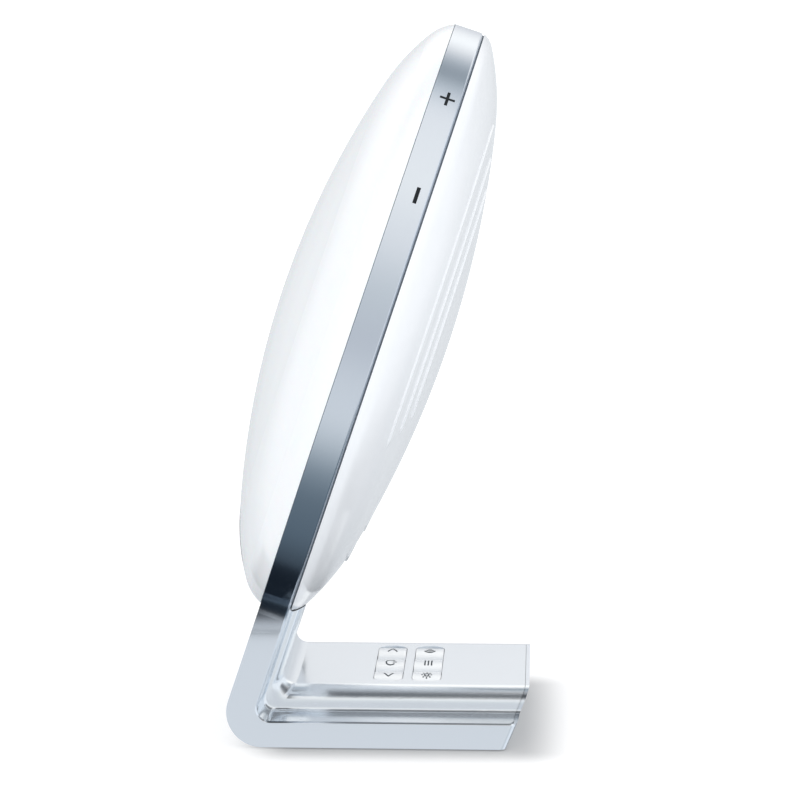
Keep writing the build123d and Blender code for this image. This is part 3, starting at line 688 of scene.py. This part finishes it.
    def combine(
        self, shell: Object, operation: str, shapes: list[Shape], material: Material
    ) -> None:
        """Add or cut solid shapes, and keep the result as the shell's mesh.

        Args:
            shell: The shell.
            operation: UNION or DIFFERENCE.
            shapes: Points and faces of each shape.
            material: Material of the cut faces.
        """
        for points, faces in shapes:
            tool = add_piece("shell_tool", points, faces, material)
            change = shell.modifiers.new("change", "BOOLEAN")
            change.operation = operation
            change.solver = "EXACT"
            change.object = tool
            graph = bpy.context.evaluated_depsgraph_get()
            mesh = bpy.data.meshes.new_from_object(shell.evaluated_get(graph))
            shell.modifiers.clear()
            shell.data = mesh
            bpy.data.objects.remove(tool)

    def build(self, material: Material) -> None:
        """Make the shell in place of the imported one.

        Args:
            material: The dome's finish.
        """
        points, faces = self.skin()
        shell = add_piece("rear_dome", points, faces, material)
        length, width = self.recess_size
        pad = self.stadium(length + 2 * self.wall, width + 2 * self.wall)
        far = self.apex + self.wall
        holes = []
        for side, size in zip((1, -1), self.hole_radii):
            middle = (side * self.hole_spacing / 2, self.recess_up)
            outline = arc(middle, size, 0, 360, self.hole_segments)[:-1]
            holes.append(self.prism(outline, self.half_rib, far))
        floor = self.prism(pad, self.recess_floor - self.floor_wall, None)
        self.combine(shell, "UNION", [floor], material)
        recess = self.prism(self.stadium(length, width), self.recess_floor, far)
        self.combine(shell, "DIFFERENCE", [recess, *holes], material)
        for polygon in shell.data.polygons:
            polygon.use_smooth = True
        shell.data.set_sharp_from_angle(angle=radians(self.crease))
        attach(shell, "clock")
        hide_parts("rear_shell")
        LOG.info("rear_dome made with %d faces", len(shell.data.polygons))


@dataclass
class SeamShadeRings:
    """Grey rings that paint the seams' shade as thin lines between the hoop and the two domes."""

    inner: float = 122.2
    front: Triple = (125.85, 5.6, 6.35)  # radius and the two sides
    rear: Triple = (125.1, -6.6, -5.6)
    segments: int = 240
    crease: float = 30.0  # degrees from which an edge stays sharp

    def build(self) -> None:
        """Lay both rings in their seams."""
        material = SEAM_SHADE.build()
        # Painted shade: grey rings laid flush in the seam gaps
        for name, (outer, low, high) in (
            ("front_seam_shade", self.front),
            ("rear_seam_shade", self.rear),
        ):
            corners = [(self.inner, low), (outer, low), (outer, high), (self.inner, high)]
            rows = [
                [LAMP.point(radius, turn, forward) for turn in turns_round(self.segments)]
                for radius, forward in corners
            ]
            points, faces = lathe(rows)
            ring = add_piece(name, points, faces, material)
            ring.data.set_sharp_from_angle(angle=radians(self.crease))
            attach(ring, "clock")
            LOG.info("%s laid", name)


# ---------------------------------------------------------------- printed marks
def print_mesh(name: str, patches: list[Grid], ink: Material, body: str) -> None:
    """Make one printed piece from grids of points that lie on the surface.

    Args:
        name: Name of the piece.
        patches: Grids, each a list of rows of points in metres.
        ink: Material of the print.
        body: Body that carries the print.
    """
    points: list[Vector] = []
    faces: Faces = []
    for grid in patches:
        start = len(points)
        across = len(grid[0])
        points += [point for row in grid for point in row]
        for line in range(len(grid) - 1):
            for place in range(across - 1):
                corner = start + line * across + place
                faces.append((corner, corner + 1, corner + across + 1, corner + across))
    piece = add_piece(name, points, faces, ink)
    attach(piece, body)
    LOG.info("%s printed with %d faces", name, len(faces))


@dataclass
class HoopMarks:
    """Plus and minus printed round the hoop, over the touch strip."""

    film: float = 0.03  # thickness of the ink
    plus: Pair = (35.2, -0.5)  # degrees from the top, and how far forward
    minus: Pair = (57.6, -1.1)
    plus_along: float = 7.9
    plus_across: float = 6.1
    plus_stroke: float = 1.2
    minus_along: float = 7.0
    minus_stroke: float = 1.5
    steps: int = 8

    def bar(self, middle: Pair, along: float, across: float) -> Grid:
        """Rectangle laid round the hoop.

        Args:
            middle: Turn from the top in degrees, and distance forward.
            along: Length round the hoop.
            across: Width across the hoop.

        Returns:
            Rows of points.
        """
        sweep = degrees(along / LAMP.radius)
        reach = LAMP.radius + self.film
        rows = []
        for step in range(self.steps + 1):
            turn = middle[0] + sweep * (step / self.steps - 0.5)
            sides = (middle[1] + across / 2, middle[1] - across / 2)
            rows.append([LAMP.point(reach, turn, side) for side in sides])
        return rows

    def build(self) -> None:
        """Print both marks."""
        ink = MARK_INK.build()
        plus = [
            self.bar(self.plus, self.plus_along, self.plus_stroke),
            self.bar(self.plus, self.plus_stroke, self.plus_across),
        ]
        minus = [self.bar(self.minus, self.minus_along, self.minus_stroke)]
        print_mesh("plus_mark", plus, ink, "clock")
        print_mesh("minus_mark", minus, ink, "clock")


@dataclass
class KeySymbols:
    """Small symbols printed on the crowned keys."""

    film: float = 0.02
    stroke: float = 0.62
    stretch: float = 2.1  # the symbols are drawn out along the row of keys
    chord: float = 0.4  # longest piece of a stroke, so that it follows the crown
    chevron: Pair = (1.2, 2.0)
    sun_radius: float = 0.9
    sun_rays: Pair = (1.5, 2.3)  # from and to, from the middle
    ray_count: int = 8
    wave_start: float = -1.5
    wave_radii: Triple = (1.0, 2.0, 3.0)
    wave_angle: float = 50.0  # degrees to each side
    bar_half: float = 2.0
    bar_rows: Triple = (-1.4, 0.0, 1.4)
    dial_radius: float = 1.9
    dial_ends: Pair = (120.0, 420.0)  # degrees
    dial_hand: Pair = (0.9, 2.6)  # from and to, from the middle

    def strokes(self) -> dict[str, list[list[Pair]]]:
        """Lines of each key's symbol, in millimetres from the key's middle.

        Returns:
            For each key, lines of points.
        """
        wide, high = self.chevron
        middle = (0.0, 0.0)
        rays = [
            [(size * cos(turn), size * sin(turn)) for size in self.sun_rays]
            for turn in (radians(360 * place / self.ray_count) for place in range(self.ray_count))
        ]
        start, angle = (self.wave_start, 0.0), self.wave_angle
        dial = arc(middle, self.dial_radius, *self.dial_ends, 20)
        return {
            "key_arrow_left": [[(wide, high), (-wide, 0.0), (wide, -high)]],
            "key_arrow_right": [[(-wide, high), (wide, 0.0), (-wide, -high)]],
            "key_mode": [dial, [(0.0, end) for end in self.dial_hand]],
            "key_sound": [arc(start, size, -angle, angle) for size in self.wave_radii],
            "key_menu": [[(-self.bar_half, row), (self.bar_half, row)] for row in self.bar_rows],
            "key_lamp": [arc(middle, self.sun_radius, 0, 360, 16), *rays],
        }

    def ribbon(self, line: list[Pair], key: Object, above: Vector) -> Grid:
        """Turn a line into a strip that lies on the key's crown.

        Args:
            line: Points in millimetres from the key's middle.
            key: The key.
            above: Place above the key's middle, in metres.

        Returns:
            Rows of two points in metres.
        """
        rows = []
        for place, here in enumerate(line):
            before = Vector(line[max(place - 1, 0)])
            after = Vector(line[min(place + 1, len(line) - 1)])
            ahead = (after - before).normalized()
            side = Vector((-ahead.y, ahead.x)) * self.stroke / 2
            row = []
            for sign in (1, -1):
                across, along = Vector(here) + sign * side
                start = above + MM * Vector((across * self.stretch, along, 0.0))
                _, ground, _, _ = key.ray_cast(start, Vector((0.0, 0.0, -1.0)))
                row.append(ground + Vector((0.0, 0.0, self.film * MM)))
            rows.append(row)
        return rows

    def fine(self, line: list[Pair]) -> list[Pair]:
        """Add points to a line, so that its strip follows the crown.

        Args:
            line: The line's corners.

        Returns:
            The corners and the points between them.
        """
        points = [line[0]]
        for start, end in zip(line, line[1:]):
            across, along = end[0] - start[0], end[1] - start[1]
            count = max(1, int((Vector(end) - Vector(start)).length / self.chord))
            for step in range(1, count + 1):
                points.append((start[0] + across * step / count, start[1] + along * step / count))
        return points

    def build(self) -> None:
        """Print a symbol on each key."""
        ink = KEY_INK.build()
        for key, lines in self.strokes().items():
            low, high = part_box(key)
            above = Vector(((low.x + high.x) / 2, (low.y + high.y) / 2, high.z + MM))
            solid = frame["nodes"][key]
            patches = [self.ribbon(self.fine(line), solid, above) for line in lines]
            print_mesh(f"{key}_symbol", patches, ink, key)


# ---------------------------------------------------------------- studio
def sheet(name: str, along: float, across: float, material: Material) -> Object:
    """Make a flat sheet.

    Args:
        name: Its name.
        along: Half of its size along X, in metres.
        across: Half of its size along Y, in metres.
        material: Its material.

    Returns:
        The sheet.
    """
    mesh = bpy.data.meshes.new(name)
    corners = [(-along, -across, 0), (along, -across, 0), (along, across, 0), (-along, across, 0)]
    mesh.from_pydata(corners, [], [(0, 1, 2, 3)])
    mesh.materials.append(material)
    return new_object(name, mesh)


def aim_from(thing: Object, place: Triple, aim: Triple) -> None:
    """Stand a lamp or the camera in its place and turn it to its aim."""
    thing.location = place
    thing.rotation_euler = (Vector(aim) - Vector(place)).to_track_quat("-Z", "Y").to_euler()


@dataclass(frozen=True)
class Softbox:
    """A square or oblong lamp with a cloth front."""

    name: str
    place: Triple  # metres
    size: Pair  # metres
    power: float  # watts
    aim: Triple = (0.0, 0.0, 0.14)

    def build(self) -> None:
        """Hang the lamp and turn it to the clock."""
        data = bpy.data.lights.new(self.name, "AREA")
        data.shape = "RECTANGLE"
        data.size, data.size_y = self.size
        data.energy = self.power
        lamp = new_object(self.name, data)
        lamp.visible_glossy = False
        aim_from(lamp, self.place, self.aim)


@dataclass(frozen=True)
class Card:
    """A dark card that only reflections see, as the flags in a studio shape them.

    It lies level or leans outward, is solid in its middle and fades to both its sides.
    """

    name: str
    place: Triple  # its middle, in millimetres
    half: Pair  # half of its size along the fade and along Y
    opacity: float
    soft: float = 1.0  # share of the half over which it fades
    lean: float = 0.0  # degrees that its outer end leans down from level
    one_sided: bool = False  # seen from outside only
    both_sides: bool = True  # with a mirror image at -X
    colour: str = "#1B232C"

    def material(self) -> Material:
        """Make the card's paper: dark in its middle and clear at its edges.

        Returns:
            The material.
        """
        material, tree = new_material(self.name)
        place = add_node(tree, "ShaderNodeTexCoord").outputs["Object"]
        along = add_node(tree, "ShaderNodeSeparateXYZ", {0: place}).outputs["X"]
        off = add_node(tree, "ShaderNodeMath", {0: along}, operation="ABSOLUTE")
        half = self.half[0] * MM
        cover = add_node(
            tree,
            "ShaderNodeMapRange",
            {
                "Value": off,
                "From Min": half * (1 - self.soft),
                "From Max": half,
                "To Min": self.opacity,
                "To Max": 0.0,
            },
            interpolation_type=EASED,
        )
        if self.one_sided:
            back = add_node(tree, "ShaderNodeNewGeometry").outputs["Backfacing"]
            front = add_node(tree, "ShaderNodeMath", {0: 1.0, 1: back}, operation="SUBTRACT")
            cover = add_node(tree, "ShaderNodeMath", {0: cover, 1: front}, operation="MULTIPLY")
        clear = add_node(tree, "ShaderNodeBsdfTransparent")
        ink = linear(self.colour)
        dark = add_node(tree, "ShaderNodeEmission", {"Color": ink, "Strength": 1.0})
        mixed = add_node(tree, "ShaderNodeMixShader", {0: cover, 1: clear, 2: dark})
        add_node(tree, "ShaderNodeOutputMaterial", {"Surface": mixed})
        return material

    def build(self) -> None:
        """Place the card, and its mirror image where it has one."""
        material = self.material()
        right, back, height = self.place
        for side, word in ((1, "right"), (-1, "left"))[: 2 if self.both_sides else 1]:
            card = sheet(f"{self.name}_{word}", self.half[0] * MM, self.half[1] * MM, material)
            card.location = MM * Vector((side * right, back, height))
            card.rotation_euler = (0.0, side * radians(self.lean), 0.0)
            card.visible_camera = False
            card.visible_diffuse = False
            card.visible_transmission = False
            card.visible_shadow = False


@dataclass
class Studio:
    """Pale floor, soft lamps, an even surround and the camera."""

    camera_place: Triple = (1.41196, 0.0664, 0.38369)
    camera_aim: Triple = (0.0, 0.007, 0.135477)
    lens: float = 155.25
    sensor: float = 36.0
    floor_size: float = 12.0  # metres
    floor_drop: float = 0.05  # how far the floor lies below the rubber strips
    floor_paper: str = "#B4B4B4"  # what the eye sees lit, under the glow
    floor_bounce: str = "#E6E7E8"  # what the clock is lit by
    glow: Pair = (0.62, 0.9)  # strength near the clock and far from it
    glow_reach: Pair = (0.2, 0.9)  # metres from the clock over which it changes
    shade_middle: Pair = (0.0, 12.0)  # soft painted shade on the paper, round the foot
    shade_half: Pair = (52.0, 46.0)
    shade_reach: float = 25.0
    shade_depth: float = 0.25
    surround: float = 1.03  # strength of the light from all round
    mirrored: float = 1.4  # strength of what gloss and metal show
    # What gloss and metal show: strips that run along Y, by their angle round Y from +X up
    strips: tuple[tuple[float, str], ...] = (
        (-180, "#BFC2C5"), (-162, "#B4B8BC"), (-150, "#8A8F94"), (-137, "#1C1F23"),
        (-115, "#2A3036"), (-100, "#3F4952"), (-85, "#56636D"), (-62, "#606C75"),
        (-50, "#7E8990"), (-40, "#B4B9BC"), (-30, "#D0D2D3"), (-14, "#CACCCE"),
        (0, "#B8BABE"), (20, "#C2C5C6"), (35, "#DAD9D8"), (60, "#EAE8E4"),
        (98, "#E4E2E0"), (110, "#BCC1C4"), (121, "#727B81"), (131, "#A8ADB1"),
        (140, "#E8E5E2"), (150, "#FFFDF8"), (160, "#E6E5E3"), (168, "#CBCCCF"),
        (174, "#BEC0C3"), (180, "#BFC2C5"),
    )
    strip_ends: str = "#DCDFE2"  # towards which the strips blend at both their ends
    strip_blend: Pair = (0.52, 0.8)  # sideways shares of the direction for that
    sky: str = "#F6F7F9"
    softboxes: tuple[Softbox, ...] = (
        Softbox("overhead_softbox", (0.35, 0.05, 1.35), (1.1, 1.1), 2.2),
        Softbox("front_softbox", (0.1, -1.2, 0.2), (0.9, 1.1), 1.0),
        Softbox("rear_softbox", (0.7, 1.1, 0.3), (0.9, 1.0), 2.0),
        Softbox("low_softbox", (0.9, 0.1, 0.08), (0.7, 0.14), 1.1),
    )
    cards: tuple[Card, ...] = (
        Card("shoulder_card", (54.0, 26.0, 60.0), (45.0, 50.0), 0.95, both_sides=False),
        Card("neck_card", (62.0, -56.0, 63.0), (16.0, 18.0), 0.97, 0.56, lean=90.0),
        Card("neck_under_card", (66.1, -56.0, 45.7), (14.0, 18.0), 0.95, 0.38, lean=14.0),
        Card("leg_card", (55.0, -50.0, 30.0), (28.0, 14.0), 0.97, 0.5, 90.0, True),
    )

    def floor(self) -> None:
        """Lay the floor: white where nothing shades it, and unseen in reflections."""
        half = self.floor_size / 2
        floor = sheet("floor", half, half, self._floor_material())
        floor.location.z = -self.floor_drop * MM
        floor.visible_glossy = False

    def _floor_material(self) -> Material:
        """Make the floor's paper: it glows white to the eye, keeps the shadow and has a painted
        shade round the foot.

        Returns:
            The floor's material.
        """
        material, tree = new_material("white_paper_floor")
        eye = add_node(tree, "ShaderNodeLightPath").outputs["Is Camera Ray"]
        place = add_node(tree, "ShaderNodeTexCoord").outputs["Object"]
        distance = add_node(tree, "ShaderNodeVectorMath", {0: place}, operation="LENGTH")
        # The lamps reach less of the paper further out, so it glows more there
        far_glow = add_node(
            tree,
            "ShaderNodeMapRange",
            {
                "Value": distance.outputs["Value"],
                "From Min": self.glow_reach[0],
                "From Max": self.glow_reach[1],
                "To Min": self.glow[0],
                "To Max": self.glow[1],
            },
            interpolation_type=EASED,
        )
        # Close round the foot a soft shade is painted on the paper
        middle, half = (
            tuple(size * MM for size in pair) for pair in (self.shade_middle, self.shade_half)
        )
        off: Node | NodeSocket = place
        nothing = (0.0, 0.0, 0.0)
        for operation, amount in (
            ("SUBTRACT", (*middle, 0.0)),
            ("ABSOLUTE", nothing),
            ("SUBTRACT", (*half, 1.0)),
            ("MAXIMUM", nothing),
            ("LENGTH", nothing),
        ):
            off = add_node(tree, "ShaderNodeVectorMath", {0: off, 1: amount}, operation=operation)
        shade = add_node(
            tree,
            "ShaderNodeMapRange",
            {
                "Value": off.outputs["Value"],
                "From Max": self.shade_reach * MM,
                "To Min": self.shade_depth,
                "To Max": 1.0,
            },
            interpolation_type=EASED,
        )
        strength = add_node(
            tree, "ShaderNodeMath", {0: far_glow, 1: shade}, operation="MULTIPLY"
        )
        paper, plain = (
            add_node(tree, "ShaderNodeBsdfDiffuse", {"Color": linear(colour)})
            for colour in (self.floor_paper, self.floor_bounce)
        )
        glow = add_node(tree, "ShaderNodeEmission", {"Color": WHITE, "Strength": strength})
        lit = add_node(tree, "ShaderNodeAddShader", {0: paper, 1: glow})
        seen = add_node(tree, "ShaderNodeMixShader", {0: eye, 1: plain, 2: lit})
        # From below the floor is clear, so that the base plate can be seen
        below = add_node(tree, "ShaderNodeNewGeometry").outputs["Backfacing"]
        clear = add_node(tree, "ShaderNodeBsdfTransparent")
        one_sided = add_node(tree, "ShaderNodeMixShader", {0: below, 1: seen, 2: clear})
        add_node(tree, "ShaderNodeOutputMaterial", {"Surface": one_sided})
        return material

    def _strips(self, tree: NodeTree) -> NodeSocket:
        """Add the nodes that colour the surround in strips along Y.

        Args:
            tree: The world's node tree.

        Returns:
            Their colour.
        """
        direction = add_node(tree, "ShaderNodeTexCoord").outputs["Generated"]
        parts = add_node(tree, "ShaderNodeSeparateXYZ", {0: direction}).outputs
        turn = add_node(
            tree, "ShaderNodeMath", {0: parts["Z"], 1: parts["X"]}, operation="ARCTAN2"
        )
        share = add_node(
            tree,
            "ShaderNodeMapRange",
            {"Value": turn, "From Min": radians(-180), "From Max": radians(180)},
        )
        ramp = add_node(tree, "ShaderNodeValToRGB", {"Fac": share})
        stops = ramp.color_ramp.elements
        while len(stops) < len(self.strips):
            stops.new(1.0)
        for element, (angle, colour) in zip(stops, self.strips):
            element.position = (angle + 180) / 360
            element.color = linear(colour)
        sideways = add_node(tree, "ShaderNodeMath", {0: parts["Y"]}, operation="ABSOLUTE")
        near, far = self.strip_blend
        end = add_node(
            tree,
            "ShaderNodeMapRange",
            {"Value": sideways, "From Min": near, "From Max": far},
            interpolation_type=EASED,
        )
        ends = linear(self.strip_ends)
        return add_node(
            tree, "ShaderNodeMix", {"Factor": end, 6: ramp, 7: ends}, data_type="RGBA"
        ).outputs[2]

    def world(self) -> None:
        """Set the surround: white behind the clock, in strips in reflections, soft elsewhere."""
        world = bpy.data.worlds.new("studio")
        world.use_nodes = True
        bpy.context.scene.world = world
        tree = world.node_tree
        tree.nodes.clear()
        ray = add_node(tree, "ShaderNodeLightPath").outputs
        strips = self._strips(tree)
        graded, white, soft = (
            add_node(tree, "ShaderNodeBackground", {"Color": colour, "Strength": strength})
            for colour, strength in (
                (strips, self.mirrored),
                (WHITE, 1.0),
                (linear(self.sky), self.surround),
            )
        )
        mirrored = add_node(
            tree, "ShaderNodeMixShader", {0: ray["Is Glossy Ray"], 1: soft, 2: graded}
        )
        seen = add_node(
            tree, "ShaderNodeMixShader", {0: ray["Is Camera Ray"], 1: mirrored, 2: white}
        )
        add_node(tree, "ShaderNodeOutputWorld", {"Surface": seen})

    def camera(self) -> None:
        """Stand the camera at the clock's right side, a little above it."""
        data = bpy.data.cameras.new("camera")
        data.lens = self.lens
        data.sensor_width = self.sensor
        camera = new_object("camera", data)
        aim_from(camera, self.camera_place, self.camera_aim)
        bpy.context.scene.camera = camera

    def build(self) -> None:
        """Set up the whole studio."""
        self.camera()
        self.floor()
        self.world()
        for item in (*self.softboxes, *self.cards):
            item.build()
        bpy.context.scene.view_settings.view_transform = "Standard"


def main() -> None:
    """Build the studio, dress the mouldings, remake the rear dome, lay the seam rings and print the
    marks.
    """
    logging.basicConfig(level=logging.INFO, format="%(name)s: %(message)s")
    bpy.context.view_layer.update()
    Studio().build()
    mouldings = Mouldings()
    mouldings.dress()
    RearShell().build(mouldings.material("white"))
    SeamShadeRings().build()
    HoopMarks().build()
    KeySymbols().build()


if __name__ == "__main__":
    main()
